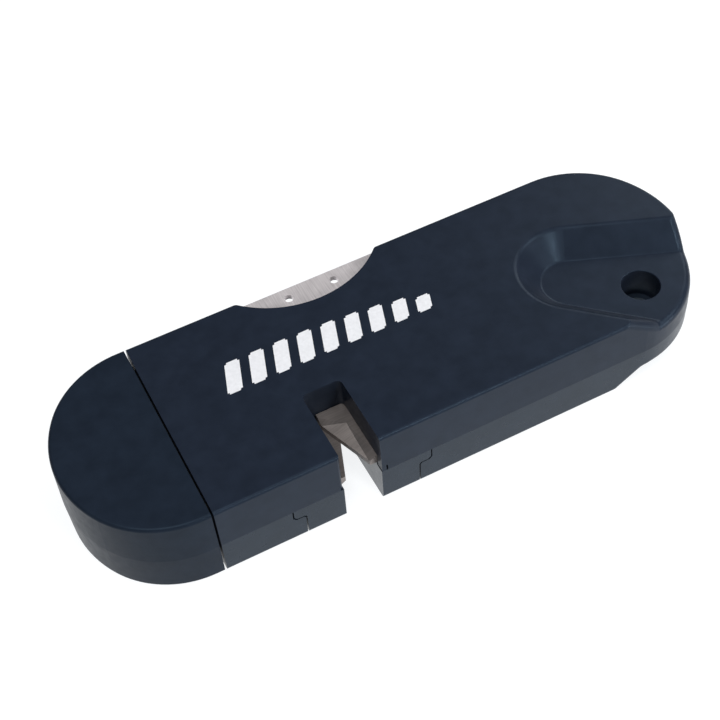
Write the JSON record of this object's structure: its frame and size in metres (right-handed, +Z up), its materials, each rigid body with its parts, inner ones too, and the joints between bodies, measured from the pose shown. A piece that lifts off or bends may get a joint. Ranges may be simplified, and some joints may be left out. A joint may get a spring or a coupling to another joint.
{
  "type": "pocket edge sharpener",
  "caption": "Flat pocket edge tuning tool: crossed carbides in a side slot, a pull-off end cap carrying a tapered rod, a fold-out file, a thumb recess and a lanyard hole.",
  "frame": {"origin": "middle of the body's length and width, on the resting underside", "axes": "+X along the length to the lanyard end, +Y to the side with the finger scallop, +Z up through the top face"},
  "size_m": [0.095, 0.0316, 0.0134],
  "materials": {
    "shell_plastic": "fine satin grain",
    "frame_plastic": "matt",
    "cap_plastic": "fine satin grain",
    "carbide": "ground, satin",
    "plate_steel": "fine rolled",
    "diamond_grit": "fine bonded grit",
    "rod_steel": "fine bonded grit on steel",
    "screw_steel": "zinc plated",
    "seal_rubber": "smooth",
    "washer_plastic": "natural acetal",
    "marking_print": "pad printed"
  },
  "bodies": {
    "housing": {"top_shell": "shell_plastic", "bottom_shell": "shell_plastic", "slot_insert": "shell_plastic", "inner_frame": "frame_plastic", "carbide_upper": "carbide", "carbide_lower": "carbide", "carbide_screws": "screw_steel", "shell_screws": "screw_steel", "frame_screws": "screw_steel", "pivot_screw": "screw_steel", "pivot_post": "screw_steel", "friction_washer": "washer_plastic", "spigot_seal_ring": "seal_rubber"},
    "end_cap": {"end_cap": "cap_plastic", "rod_holder": "frame_plastic", "rod_cross_pin": "screw_steel", "diamond_rod": "rod_steel"},
    "file": {"file_plate": "plate_steel", "file_abrasive_upper": "diamond_grit", "file_abrasive_lower": "diamond_grit"}
  },
  "joints": [
    {"name": "cap_slide", "type": "slide", "parent": "housing", "child": "end_cap", "axis": [-1, 0, 0], "range_m": [0, 0.06]},
    {"name": "file_swing", "type": "hinge", "parent": "housing", "child": "file", "pos_m": [0.038, 0.0075, 0.011], "axis": [0, 0, -1], "range_deg": [0, 180]}
  ]
}
